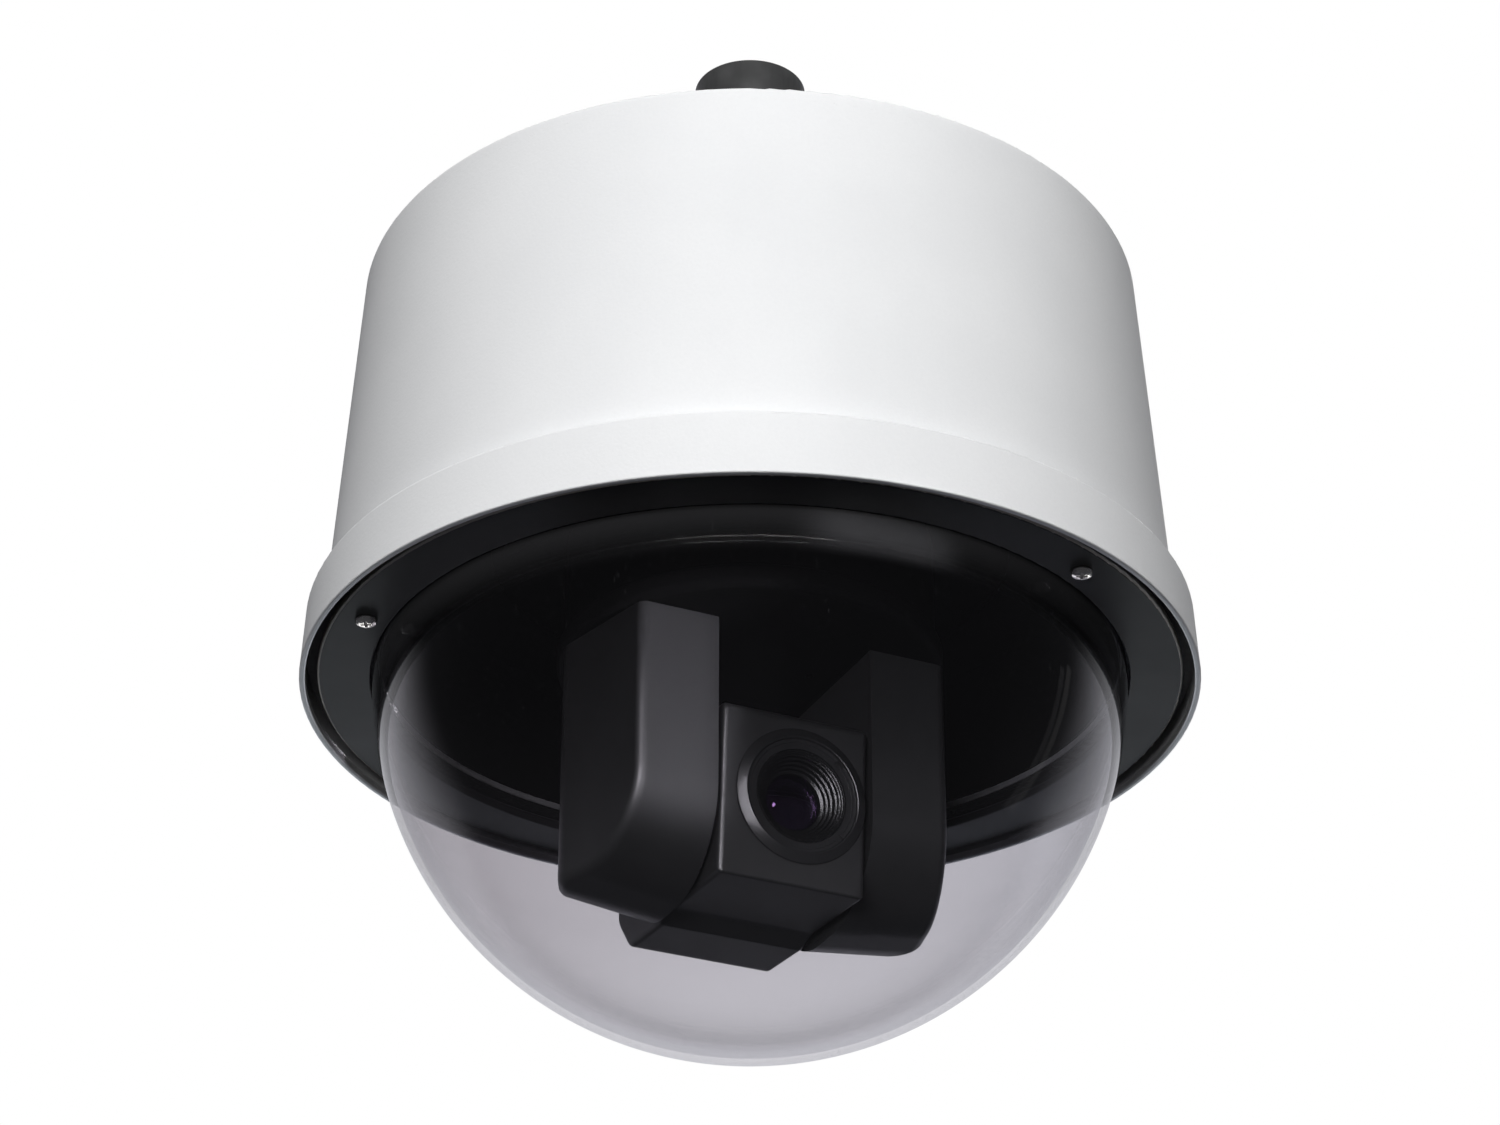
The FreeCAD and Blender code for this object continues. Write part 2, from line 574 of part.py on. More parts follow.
def arm_bracket():
    web = box(BRACKET_X, BRACKET_X + BRACKET_T, -AXIS_F - 16, -AXIS_F + 16, AXIS_Z - 14, TABLE_Z)
    foot = box(BRACKET_X, BRACKET_X + 16, -28, 24, TABLE_Z - 2, TABLE_Z)
    holes = [rod(1.5, 0, 30, Z, V(44, -f, 0)) for f in (-18, 22)]
    return less(joined(web, [foot]), holes + [rod(7, 0, 60, X, AXIS), rod(3, 0, 60, X, MOTOR_AT)])


def mirrored(shape):
    return shape.mirror(V(0, 0, 0), X)


def make_yoke():
    shell, cover, bracket = arm_shell(), inner_cover(), arm_bracket()
    bush = joined(tube(7, 4 + SLIP, BRACKET_X - 1.5, BRACKET_X + BRACKET_T, X, AXIS),
                  [tube(9, 4 + SLIP, BRACKET_X - 1.5, BRACKET_X, X, AXIS)])
    save("arm_right_shell", shell.copy(), PAN)
    save("arm_left_shell", mirrored(shell), PAN)
    for name, piece in (("arm_inner_covers", cover), ("arm_brackets", bracket), ("tilt_bushes", bush)):
        save(name, group([piece, mirrored(piece)]), PAN)
    mount = box(GEAR_X + GEAR_T + 1.5, GEAR_X + GEAR_T + 3.5, -AXIS_F - 15, -AXIS_F + 15,
                MOTOR_AT.z - 11, MOTOR_AT.z + 11)
    pillars = [rod(2, BRACKET_X + BRACKET_T, GEAR_X + GEAR_T + 2, X, MOTOR_AT + V(0, y, 0))
               for y in (-12.5, 12.5)]
    save("tilt_motor_mount", joined(mount, pillars).cut(rod(5, 0, 80, X, MOTOR_AT)), PAN)
    start = GEAR_X + GEAR_T + 3.5
    motor = joined(rod(10, start, start + 15, X, MOTOR_AT), [rod(4.9, start - 1.8, start + 2, X, MOTOR_AT)])
    save("tilt_motor", motor.cut(rod(1.5 + SLIP, 0, start + 10, X, MOTOR_AT)), PAN)
    pinion = gear(PINION_TEETH, TILT_MODULE, GEAR_X, GEAR_X + GEAR_T, 1.5, PINION_STEP)
    shaft = rod(1.5, GEAR_X - 0.5, start + 8, X, MOTOR_AT)
    save("tilt_pinion", group([about_x(pinion, MOTOR_AT), shaft]), PAN)


# ---------------------------------------------------------------- head
TUBE_R = 18.0
LENS = V(LENS_X, 0, LENS_W)
RODS = (V(11, 0, 8), V(-11, 0, -8))
FILTER_TRAVEL = 12.0


def head_save(name, shape):
    """Tip the head's piece down, move it to the tilt axis and turn it with the yoke."""
    shape.rotate(V(0, 0, 0), X, TILT)
    shape.translate(AXIS)
    save(name, shape, PAN)


def head_form(inset):
    """Solid of the head about its own tilt axis, faces moved in by inset."""
    half = HEAD_HALF - inset
    profile = [(FACE - inset, HEAD_BOTTOM + 4.2 + inset, 1.2), (FACE - inset, HEAD_TOP - inset, 4),
               (-24, HEAD_TOP - inset, 30), (-HEAD_BACK + inset, 16 - inset, 10),
               (-HEAD_BACK + inset, HEAD_BOTTOM + 14, 10), (-HEAD_BACK + 13, HEAD_BOTTOM + inset, 8),
               (-18.5, HEAD_BOTTOM + inset, 3), (-8, HEAD_BOTTOM + 3.4 + inset, 14)]
    return side(profile, -half, half)


def head_shell():
    outer = head_form(0)
    flanks = [e for e in outer.Edges if abs(abs(e.CenterOfMass.x) - HEAD_HALF) < 1e-3]
    outer = outer.makeFillet(2.2, flanks)
    shell = outer.cut(head_form(WALL))
    return shell.cut(rod(4.2, -60, 60, X))


def lens_bezel():
    """Low cone round the lens mouth, with a spigot through the face."""
    points = [(MOUTH_R, 33), (20, 33), (20, FACE), (BEZEL_R, FACE, 0.4), (BEZEL_R - 1.2, FACE + 1.0, 0.5),
              (21.4, FACE + 2.6, 0.8), (MOUTH_R, FACE + 2.6, 0.5)]
    return about_lens(points)


def about_lens(points):
    """Solid of revolution about the lens axis from (radius, forward) points."""
    wire = outline(points, lambda p: V(p.x, -p.y, 0))
    shape = Part.Face(wire).revolve(V(0, 0, 0), Y, 360)
    shape.translate(LENS)
    return shape


def lens_glass(r, front_f, thick, bulge):
    """Round lens element: a disc whose front is a spherical cap."""
    ball_r = (r * r + bulge * bulge) / (2 * bulge)
    ball = Part.makeSphere(ball_r, LENS + V(0, ball_r - bulge - front_f, 0))
    return rod(r, -front_f - bulge - 1, -front_f + thick, Y, LENS).common(ball)


def lens_cell(front_f, thick):
    """Ring that carries a lens group along the two guide rods."""
    cell = rod(15.5, -front_f, -front_f + thick, Y, LENS).cut(rod(7, -60, 60, Y, LENS))
    return less(cell, [rod(1 + SLIP, -60, 60, Y, LENS + at) for at in RODS])


def make_head():
    shell = head_shell()
    cut = box(-50, 50, -60, -SEAM, -60, 60)
    head_save("head_front_cover", shell.common(cut).cut(rod(20.1, -60, 0, Y, LENS)))
    head_save("head_rear_cover", shell.cut(cut))
    head_save("lens_bezel", lens_bezel())
    steps = [(17.6, FACE + 2.0), (17.2, 34), (15.6, 33.8), (15.2, 32), (13.4, 31.8), (13.0, 30),
             (11.4, 29.8), (11.0, 27.2), (11.0, 25)]
    head_save("lens_baffle", about_lens([(19.0, 25), (19.0, FACE + 2.0)] + steps))
    head_save("front_lens", lens_glass(11, 28.4, 2.4, 2.4))
    head_save("lens_tube", joined(tube(TUBE_R, 16, -25, 33, Y, LENS),
                                  [tube(TUBE_R, 8, -25, -22, Y, LENS), tube(20, 8, 30, 33, Y, LENS)]))
    head_save("guide_rods", group([rod(1, -22, 30, Y, LENS + at) for at in RODS]))
    head_save("zoom_group", group([lens_cell(12, 5), lens_glass(7, 11.5, 4, 1.2)]))
    head_save("focus_group", group([lens_cell(-12, 4), lens_glass(7, -12.5, 3, 0.8)]))
    glass = box(-4, 4, 33.2, 34.2, -4, 4)
    window = box(FILTER_TRAVEL - 4, FILTER_TRAVEL + 4, 33.2, 34.2, -4, 4)
    ir_filter = [less(box(-6, FILTER_TRAVEL + 6, 33.2, 34.2, -5.5, 5.5), [glass, window]), glass]
    head_save("ir_filter", group([moved(piece, LENS) for piece in ir_filter]))
    sensor = box(LENS_X - 5, LENS_X + 5, 35.2, 37.4, LENS_W - 4, LENS_W + 4)
    head_save("sensor_board", group([box(-22, 22, 37.4, 39, -20, 20), sensor]))
    floor = box(-28, 28, -24, 44, -30, -28)
    cheeks = [box(x, x + 2, -14, 14, -30, 12) for x in (-28, 26)]
    saddle = [box(-14, 14, y, y + 4, -28, -14) for y in (-16, 18)]
    chassis = joined(floor, cheeks + saddle)
    head_save("head_chassis", less(chassis, [rod(4, -60, 60, X), rod(TUBE_R, -60, 60, Y, LENS)]))
    reach = GEAR_X + GEAR_T + 0.5
    stub = rod(4, 26, reach, X)
    left = rod(4, 26, BRACKET_X + BRACKET_T + 1, X)
    flange = tube(8, 3.5, 24, 26, X)
    head_save("tilt_shafts", group([joined(stub, [flange]), mirrored(joined(left, [flange]))]))
    save("tilt_gear", about_x(gear(TILT_TEETH, TILT_MODULE, GEAR_X, GEAR_X + GEAR_T, 4), AXIS), PAN)


os.makedirs("parts", exist_ok=True)
make_housing()
make_works()
make_base()
make_yoke()
make_head()
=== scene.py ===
import json
from math import acos, asin, atan2, cos, pi, radians, sin, tan

import bmesh
import bpy
from mathutils import Matrix, Vector


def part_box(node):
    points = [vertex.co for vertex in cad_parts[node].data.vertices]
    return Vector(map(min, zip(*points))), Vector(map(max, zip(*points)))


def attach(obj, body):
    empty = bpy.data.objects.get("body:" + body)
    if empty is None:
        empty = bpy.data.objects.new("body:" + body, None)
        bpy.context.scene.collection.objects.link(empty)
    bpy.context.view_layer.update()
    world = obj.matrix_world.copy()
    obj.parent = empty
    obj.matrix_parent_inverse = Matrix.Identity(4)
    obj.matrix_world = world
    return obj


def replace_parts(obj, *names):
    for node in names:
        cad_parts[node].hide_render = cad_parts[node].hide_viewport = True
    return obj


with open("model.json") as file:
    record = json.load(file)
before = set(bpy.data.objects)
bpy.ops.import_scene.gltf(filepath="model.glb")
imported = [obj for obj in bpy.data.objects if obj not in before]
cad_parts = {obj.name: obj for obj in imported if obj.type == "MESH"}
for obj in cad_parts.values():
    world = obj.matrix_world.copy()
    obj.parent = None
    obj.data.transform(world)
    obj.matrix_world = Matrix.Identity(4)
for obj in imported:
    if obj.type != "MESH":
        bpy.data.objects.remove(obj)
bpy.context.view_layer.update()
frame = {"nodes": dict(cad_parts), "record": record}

NODES = frame["nodes"]
SLOT_OF = {part["node"]: part["material_slot"] for part in frame["record"]["subparts"]}
MM = 0.001

# the ring and the dome's flange, and the rim plane they are set up from
RING_LOW, RING_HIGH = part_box("dome_ring")
RIM_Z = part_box("housing_skirt")[0].z
DOME_Z = RING_HIGH.z

# how the camera stands at rest: its turn and tilt, the tilt axis, and the lens's place across and up the head
PAN, TILT = radians(25), radians(4.3)
AXIS_F, AXIS_Z = 4.3 * MM, RIM_Z - 60.5 * MM
LENS_X, LENS_W = 2.8 * MM, 3.4 * MM


# ---------------------------------------------------------------- materials
def put_node(tree, kind, inputs=None, **settings):
    """Add a shader node; an input is either a value or another node's output socket."""
    made = tree.nodes.new(kind)
    for key, value in settings.items():
        setattr(made, key, value)
    for key, value in (inputs or {}).items():
        if isinstance(value, bpy.types.NodeSocket):
            tree.links.new(value, made.inputs[key])
        else:
            made.inputs[key].default_value = value
    return made


class Surface:
    """A node material being put together; every pattern is in the part's own metres."""

    def __init__(self, name):
        self.made = bpy.data.materials.new(name)
        self.made.use_nodes = True
        self.tree = self.made.node_tree
        self.tree.nodes.clear()
        self.place = self.node("ShaderNodeTexCoord").outputs["Object"]

    def node(self, kind, inputs=None, **settings):
        return put_node(self.tree, kind, inputs, **settings)

    def noise(self, size, detail=2.0, stretch=(1, 1, 1), rough=0.5):
        """Smooth random pattern with features about size metres across."""
        place = self.node("ShaderNodeMapping", {"Vector": self.place, "Scale": stretch}).outputs[0]
        made = self.node("ShaderNodeTexNoise", {"Vector": place, "Scale": 1 / size, "Detail": detail,
                                                "Roughness": rough})
        return made.outputs["Fac"]

    def cells(self, size):
        """Distance to the nearest of scattered points about size metres apart."""
        made = self.node("ShaderNodeTexVoronoi", {"Vector": self.place, "Scale": 1 / size}, feature="F1")
        return made.outputs["Distance"]

    def value(self, operation, a, b=0.0, clamp=False):
        return self.node("ShaderNodeMath", {0: a, 1: b}, operation=operation, use_clamp=clamp).outputs[0]

    def between(self, value, low, high, to_low=0.0, to_high=1.0):
        """Map a value from one range to another, clamped."""
        made = self.node("ShaderNodeMapRange", {"Value": value, "From Min": low, "From Max": high,
                                                "To Min": to_low, "To Max": to_high})
        return made.outputs["Result"]

    def mix(self, share, a, b):
        """Blend two colours."""
        made = self.node("ShaderNodeMix", {0: share, 6: a, 7: b}, data_type="RGBA")
        return made.outputs[2]

    def axis(self, name):
        return self.node("ShaderNodeSeparateXYZ", {0: self.place}).outputs[name]

    def radius(self):
        """Distance from the housing's vertical axis."""
        x, y = self.axis("X"), self.axis("Y")
        square = self.value("ADD", self.value("MULTIPLY", x, x), self.value("MULTIPLY", y, y))
        return self.value("SQRT", square)

    def uneven_radius(self, size, detail, amount):
        """The same distance, wavering by an amount so that an edge drawn at it isn't a perfect circle."""
        waver = self.value("SUBTRACT", self.noise(size, detail), 0.5)
        return self.value("ADD", self.radius(), self.value("MULTIPLY", waver, amount))

    def grazing(self, straight):
        """Mirror share of a clear surface, the same from both sides: straight on, rising to 1 edge on."""
        edge = self.node("ShaderNodeLayerWeight", {"Blend": 0.5}).outputs["Facing"]
        rise = self.value("MULTIPLY", self.value("POWER", edge, 5.0), 1 - straight)
        return self.value("ADD", rise, straight)

    def blend(self, share, a, b):
        """Blend two shaders."""
        return self.node("ShaderNodeMixShader", {0: share, 1: a, 2: b}).outputs[0]

    def bump(self, height, depth, normal=None):
        inputs = {"Height": height, "Strength": 1.0, "Distance": depth}
        if normal is not None:
            inputs["Normal"] = normal
        return self.node("ShaderNodeBump", inputs).outputs[0]

    def principled(self, **inputs):
        named = {key.replace("_", " "): value for key, value in inputs.items()}
        return self.node("ShaderNodeBsdfPrincipled", named).outputs[0]

    def done(self, shader):
        self.node("ShaderNodeOutputMaterial", {"Surface": shader})
        return self.made


def grey(level, blue=0.0):
    """Neutral colour, leaning a little to blue."""
    return (level, level * (1 + blue * 0.4), level * (1 + blue), 1)


def powder_coat():
    """White satin powder coat with a fine orange-peel."""
    s = Surface("white_powder_coat")
    return s.done(coat_shader(s))


def coat_shader(s):
    """Orange-peel paint: peel, fine grit and a broad, faint clouding."""
    peel = s.noise(1.3 * MM, 1.5)
    grit = s.noise(0.35 * MM, 1.0)
    cloud = s.noise(70 * MM, 3.0)
    colour = s.mix(s.between(cloud, 0.35, 0.7), grey(0.80, 0.022), grey(0.835, 0.018))
    colour = s.mix(s.between(peel, 0.35, 0.75, 0, 0.10), colour, grey(0.70, 0.03))
    rough = s.between(peel, 0.3, 0.7, 0.50, 0.64)
    normal = s.bump(peel, 0.055 * MM, s.bump(grit, 0.010 * MM))
    return s.principled(Base_Color=colour, Roughness=rough, Normal=normal, Specular_IOR_Level=0.12)


def bare_aluminium_shader(s):
    """Machined aluminium with fine tool marks round the axis."""
    section = s.node("ShaderNodeCombineXYZ", {"X": s.radius(), "Y": s.axis("Z")}).outputs[0]
    marks = s.node("ShaderNodeTexNoise", {"Vector": section, "Scale": 2600, "Detail": 2}).outputs["Fac"]
    colour = s.mix(s.noise(9 * MM, 3), grey(0.72, 0.02), grey(0.84, 0.03))
    return s.principled(Base_Color=colour, Metallic=0.85, Roughness=s.between(marks, 0.3, 0.7, 0.30, 0.44),
                        Normal=s.bump(marks, 0.012 * MM))


def skirt_finish():
    """Powder coat outside, dull primer on the inner wall and bare metal on the rolled lip."""
    s = Surface("skirt_coat_and_bare_lip")
    edge, height = s.uneven_radius(6 * MM, 3, 0.35 * MM), s.axis("Z")
    inner = s.value("MULTIPLY", s.between(edge, 178.9 * MM, 178.6 * MM),
                    s.between(height, RIM_Z + 13.2 * MM, RIM_Z + 12.8 * MM))
    bottom = s.between(height, RIM_Z + 1.3 * MM, RIM_Z + 1.0 * MM)
    lip = s.value("MULTIPLY", s.between(edge, 180.3 * MM, 180.0 * MM),
                  s.between(height, RIM_Z + 3.4 * MM, RIM_Z + 2.8 * MM))
    lip = s.value("MULTIPLY", lip, s.value("MAXIMUM", inner, bottom))
    tone = s.mix(s.noise(3 * MM, 3), grey(0.30, 0.03), grey(0.38, 0.02))
    primer = s.principled(Base_Color=tone, Roughness=0.6, Specular_IOR_Level=0.12)
    walls = s.blend(inner, coat_shader(s), primer)
    return s.done(s.blend(lip, walls, bare_aluminium_shader(s)))


def ring_finish():
    """Black semi-matt plate with a thin band of bare-metal colour round its outer chamfer."""
    s = Surface("black_ring_plate")
    mottle = s.noise(24 * MM, 4)
    fine = s.noise(0.5 * MM, 2)
    colour = s.mix(mottle, grey(0.022, 0.05), grey(0.032, 0.03))
    normal = s.bump(fine, 0.010 * MM)
    plate = s.principled(Base_Color=colour, Roughness=s.between(mottle, 0.3, 0.7, 0.34, 0.44), Normal=normal)
    edge = s.between(s.uneven_radius(5 * MM, 2, 0.2 * MM), RING_HIGH.x - 0.85 * MM, RING_HIGH.x - 0.7 * MM)
    bare = s.principled(Base_Color=(0.62, 0.59, 0.54, 1), Metallic=0.6, Roughness=0.38)
    return s.done(s.blend(edge, plate, bare))


def moulded_plastic(name, low, high, rough, grain=0.45, depth=0.012, blue=0.03, shine=0.5):
    """Moulded plastic with a fine spark-eroded grain and faint handling marks."""
    s = Surface(name)
    smear = s.noise(38 * MM, 4, (1, 1, 0.35))
    texture = s.noise(grain * MM, 2.5)
    colour = s.mix(s.between(smear, 0.3, 0.75), grey(low, blue), grey(high, blue))
    roughness = s.value("ADD", s.between(smear, 0.3, 0.7, rough - 0.04, rough + 0.05),
                        s.between(texture, 0.3, 0.7, -0.03, 0.03))
    return s.done(s.principled(Base_Color=colour, Roughness=roughness, Specular_IOR_Level=shine,
                               Normal=s.bump(texture, depth * MM)))


def pipe_paint():
    """Black pipe paint over drawn steel, with faint lengthwise marks."""
    s = Surface("black_pipe_paint")
    marks = s.noise(2.2 * MM, 3, (1, 1, 0.12))
    dust = s.noise(14 * MM, 4)
    colour = s.mix(s.between(dust, 0.35, 0.75), grey(0.045, 0.02), grey(0.075, 0.02))
    return s.done(s.principled(Base_Color=colour, Roughness=s.between(marks, 0.3, 0.7, 0.45, 0.62),
                               Normal=s.bump(marks, 0.03 * MM)))


def clear_acrylic():
    """Thin tinted acrylic, mirror-bright only at grazing angles, with hairline scuffs and a milky root; its
    see-through tint carries painted shade, darker at the root and on the left, lighter towards the pole.
    """
    s = Surface("clear_acrylic")
    scuff = s.between(s.noise(1.1 * MM, 2, (1, 1, 0.06), 0.6), 0.66, 0.80, 0, 1)
    patch = s.between(s.noise(70 * MM, 3), 0.45, 0.7)
    height = s.axis("Z")
    rooted = s.between(height, DOME_Z - 20 * MM, DOME_Z - 4 * MM, 0, 0.03)
    haze = s.value("ADD", s.value("MULTIPLY", s.value("MULTIPLY", scuff, patch), 0.035), rooted)
    # painted shade: the see-through tint is darker at the root and on the left side and lighter towards the
    # pole
    pole = s.between(height, DOME_Z - 50 * MM, DOME_Z - 150 * MM)
    across = s.between(s.axis("X"), -120 * MM, 120 * MM)
    root = s.mix(across, (0.776, 0.764, 0.783, 1), (0.824, 0.820, 0.842, 1))
    tint_and_painted_shade = s.mix(pole, root, (0.925, 0.920, 0.937, 1))
    clear = s.node("ShaderNodeBsdfTransparent", {"Color": tint_and_painted_shade}).outputs[0]
    gloss = s.node("ShaderNodeBsdfAnisotropic", {"Color": (1, 1, 1, 1), "Roughness": 0.035}).outputs[0]
    milky = s.node("ShaderNodeBsdfDiffuse", {"Color": (0.8, 0.8, 0.84, 1)}).outputs[0]
    return s.done(s.blend(haze, s.blend(s.grazing(0.035), clear, gloss), milky))


def coated_glass():
    """Anti-reflection coated lens glass with a magenta bloom."""
    s = Surface("coated_lens_glass")
    clear = s.node("ShaderNodeBsdfTransparent", {"Color": (0.86, 0.84, 0.92, 1)}).outputs[0]
    bloom = s.mix(s.noise(9 * MM, 2), (0.85, 0.35, 0.75, 1), (0.45, 0.40, 0.95, 1))
    gloss = s.node("ShaderNodeBsdfAnisotropic", {"Color": bloom, "Roughness": 0.02}).outputs[0]
    return s.done(s.blend(s.grazing(0.09), clear, gloss))


def metal(name, colour, rough, grain, stretch=(1, 1, 1), depth=0.008):
    """Metal with directional grain and slightly uneven tone."""
    s = Surface(name)
    lines = s.noise(grain * MM, 3, stretch)
    tone = s.noise(16 * MM, 3)
    dark = tuple(c * 0.82 for c in colour) + (1,)
    tinted = s.mix(s.between(tone, 0.3, 0.7), dark, colour + (1,))
    roughness = s.between(lines, 0.3, 0.7, rough - 0.05, rough + 0.1)
    return s.done(s.principled(Base_Color=tinted, Metallic=1.0, Roughness=roughness,
                               Normal=s.bump(lines, depth * MM)))


def circuit_board():
    """Green solder mask over copper tracks."""
    s = Surface("circuit_board")
    place = s.node("ShaderNodeMapping", {"Vector": s.place, "Scale": (1, 1, 0)}).outputs[0]
    tracks = s.node("ShaderNodeTexBrick", {"Vector": place, "Scale": 90, "Mortar Size": 0.03}).outputs["Fac"]
    colour = s.mix(tracks, (0.02, 0.11, 0.045, 1), (0.05, 0.22, 0.09, 1))
    colour = s.mix(s.between(s.cells(5 * MM), 0.10, 0.12, 1, 0), colour, (0.62, 0.60, 0.55, 1))
    return s.done(s.principled(Base_Color=colour, Roughness=0.32, Normal=s.bump(tracks, 0.03 * MM)))


def rubber():
    """Matt black rubber with a grey bloom."""
    s = Surface("rubber")
    bloom = s.noise(3 * MM, 4)
    colour = s.mix(bloom, grey(0.012), grey(0.03))
    return s.done(s.principled(Base_Color=colour, Roughness=s.between(bloom, 0.3, 0.7, 0.62, 0.8),
                               Normal=s.bump(s.noise(0.4 * MM), 0.02 * MM)))


FINISHES = {
    "white_paint": powder_coat(),
    "black_paint": pipe_paint(),
    "clear_dome": clear_acrylic(),
    "camera_shell": moulded_plastic("camera_shell_plastic", 0.046, 0.058, 0.36),
    "black_plastic": moulded_plastic("black_liner_plastic", 0.011, 0.016, 0.6, 0.6, 0.02, shine=0.12),
    "rubber": rubber(),
    "stainless": metal("bright_stainless", (0.74, 0.72, 0.70), 0.16, 0.5),
    "aluminium": metal("mill_aluminium", (0.72, 0.73, 0.74), 0.34, 0.8, (1, 0.06, 1)),
    "brass": metal("turned_brass", (0.80, 0.60, 0.26), 0.24, 0.5, (1, 1, 8)),
    "circuit_board": circuit_board(),
    "lens_glass": coated_glass(),
    "lens_black": moulded_plastic("lens_black", 0.012, 0.022, 0.24, 0.3, 0.006, shine=0.8),
    "motor_steel": metal("zinc_plate", (0.52, 0.53, 0.55), 0.30, 0.7),
}
OWN_FINISH = {
    "housing_skirt": skirt_finish(),
    "dome_ring": ring_finish(),
    "camera_plate": moulded_plastic("black_anodised_plate", 0.010, 0.015, 0.6, 0.6, 0.01, shine=0.12),
}
BEZEL_FINISH = moulded_plastic("satin_bezel", 0.040, 0.052, 0.22, 0.3, 0.006, shine=0.8)


def finish(piece, material):
    """Give a piece one material all over."""
    piece.data.materials.clear()
    piece.data.materials.append(material)
    for face in piece.data.polygons:
        face.material_index = 0


for name, node in NODES.items():
    finish(node, OWN_FINISH.get(name, FINISHES[SLOT_OF[name]]))


# ---------------------------------------------------------------- shapes
def mesh_data(name, mesh):
    """Turn a bmesh into mesh data and free it."""
    data = bpy.data.meshes.new(name)
    mesh.to_mesh(data)
    mesh.free()
    return data


def in_scene(name, data):
    """Add an object with the given data to the scene."""
    made = bpy.data.objects.new(name, data)
    bpy.context.scene.collection.objects.link(made)
    return made


def add(name, mesh, body, slot, material=None):
    """Put a finished bmesh in the scene as a piece on a body."""
    bmesh.ops.recalc_face_normals(mesh, faces=mesh.faces)
    piece = in_scene(name, mesh_data(name, mesh))
    finish(piece, material or FINISHES[slot])
    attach(piece, body)
    return piece


def smooth(piece, angle=35):
    """Smooth shading with edges kept sharp above an angle."""
    piece.data.polygons.foreach_set("use_smooth", [True] * len(piece.data.polygons))
    piece.data.set_sharp_from_angle(angle=radians(angle))
    return piece


def rounded(points, steps=4):
    """Polyline from (u, v) points; a point (u, v, r) is a corner rounded with radius r."""
    line, count = [], len(points)
    for i, point in enumerate(points):
        here = Vector(point[:2])
        if len(point) == 2:
            line.append(here)
            continue
        back = (Vector(points[i - 1][:2]) - here).normalized()
        ahead = (Vector(points[(i + 1) % count][:2]) - here).normalized()
        half = acos(max(-1, min(1, back.dot(ahead)))) / 2
        middle = (back + ahead).normalized()
        centre = here + middle * (point[2] / sin(half))
        start, end = here + back * point[2] / tan(half), here + ahead * point[2] / tan(half)
        first = atan2(*(start - centre).yx)
        sweep = (atan2(*(end - centre).yx) - first + pi) % (2 * pi) - pi
        for step in range(steps + 1):
            angle = first + sweep * step / steps
            line.append(centre + Vector((cos(angle), sin(angle))) * point[2])
    return line


def lathe(line, turns, closed=True):
    """Surface of revolution about Z of a (radius, height) line; closed joins its ends."""
    mesh = bmesh.new()
    rings = []
    for radius, height in line:
        if radius < 1e-6:
            rings.append([mesh.verts.new((0, 0, height))])
            continue
        ring = [2 * pi * k / turns for k in range(turns)]
        rings.append([mesh.verts.new((radius * cos(a), radius * sin(a), height)) for a in ring])
    pairs = list(zip(rings, rings[1:])) + ([(rings[-1], rings[0])] if closed else [])
    for low, high in pairs:
        for k in range(turns):
            n = (k + 1) % turns
            corners = [low[k % len(low)], low[n % len(low)], high[n % len(high)], high[k % len(high)]]
            corners = list(dict.fromkeys(corners))
            if len(corners) > 2:
                mesh.faces.new(corners)
    return mesh


def millimetres(mesh, place=Matrix.Identity(4)):
    """Scale a mesh drawn in millimetres to metres, then put it in place."""
    mesh.transform(place @ Matrix.Scale(MM, 4))
    return mesh


HEAD = Matrix.Rotation(PAN, 4, "Z") @ Matrix.Translation((0, -AXIS_F, AXIS_Z)) @ Matrix.Rotation(TILT, 4, "X")
LENS = HEAD @ Matrix.Translation((LENS_X, 0, LENS_W)) @ Matrix.Rotation(pi / 2, 4, "X")


# ---------------------------------------------------------------- pipe
def make_pipe():
    """Pipe end with a filed rim, stepped down where it enters the collar."""
    outer, bore, spigot, shoulder, foot = 24.13, 20.45, 23.4, -21.5, -76.0
    line = rounded([(bore, foot), (spigot, foot), (spigot, shoulder), (outer, shoulder, 0.2), (outer, 0, 0.9),
                    (bore, 0, 0.6)], 5)
    pipe = smooth(add("filed_pipe_end", millimetres(lathe(line, 128)), "root", "black_paint"), 30)
    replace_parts(pipe, "mounting_pipe")


# ---------------------------------------------------------------- clear dome
def make_dome():
    """Hemisphere with a flange, turned as one wall 3 mm thick."""
    outer, wall, flange, thick = 151.5, 3.0, 156.0, 3.0
    arc = [k * pi / 2 / 72 for k in range(73)]
    line = [Vector((outer * sin(a), -outer * cos(a))) for a in arc]
    line += rounded([(outer, 0), (flange, 0, 0.5), (flange, thick, 0.5), (outer - wall, thick)], 2)[1:]
    line += [Vector(((outer - wall) * sin(a), -(outer - wall) * cos(a))) for a in reversed(arc)]
    mesh = millimetres(lathe(line, 192, closed=False), Matrix.Translation((0, 0, DOME_Z)))
    dome = smooth(add("moulded_dome", mesh, "root", "clear_dome"))
    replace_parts(dome, "clear_dome")


# ---------------------------------------------------------------- ring screws
def carve(piece, cutter):
    """Take a bmesh out of a piece, both in the piece's own coordinates."""
    tool = in_scene("cutter", mesh_data("cutter", cutter))
    tool.matrix_world = piece.matrix_world
    cut = piece.modifiers.new("cut", "BOOLEAN")
    cut.operation, cut.object, cut.solver = "DIFFERENCE", tool, "EXACT"
    bpy.context.view_layer.update()
    made = bpy.data.meshes.new_from_object(piece.evaluated_get(bpy.context.evaluated_depsgraph_get()))
    piece.modifiers.clear()
    piece.data = made
    bpy.data.objects.remove(tool)


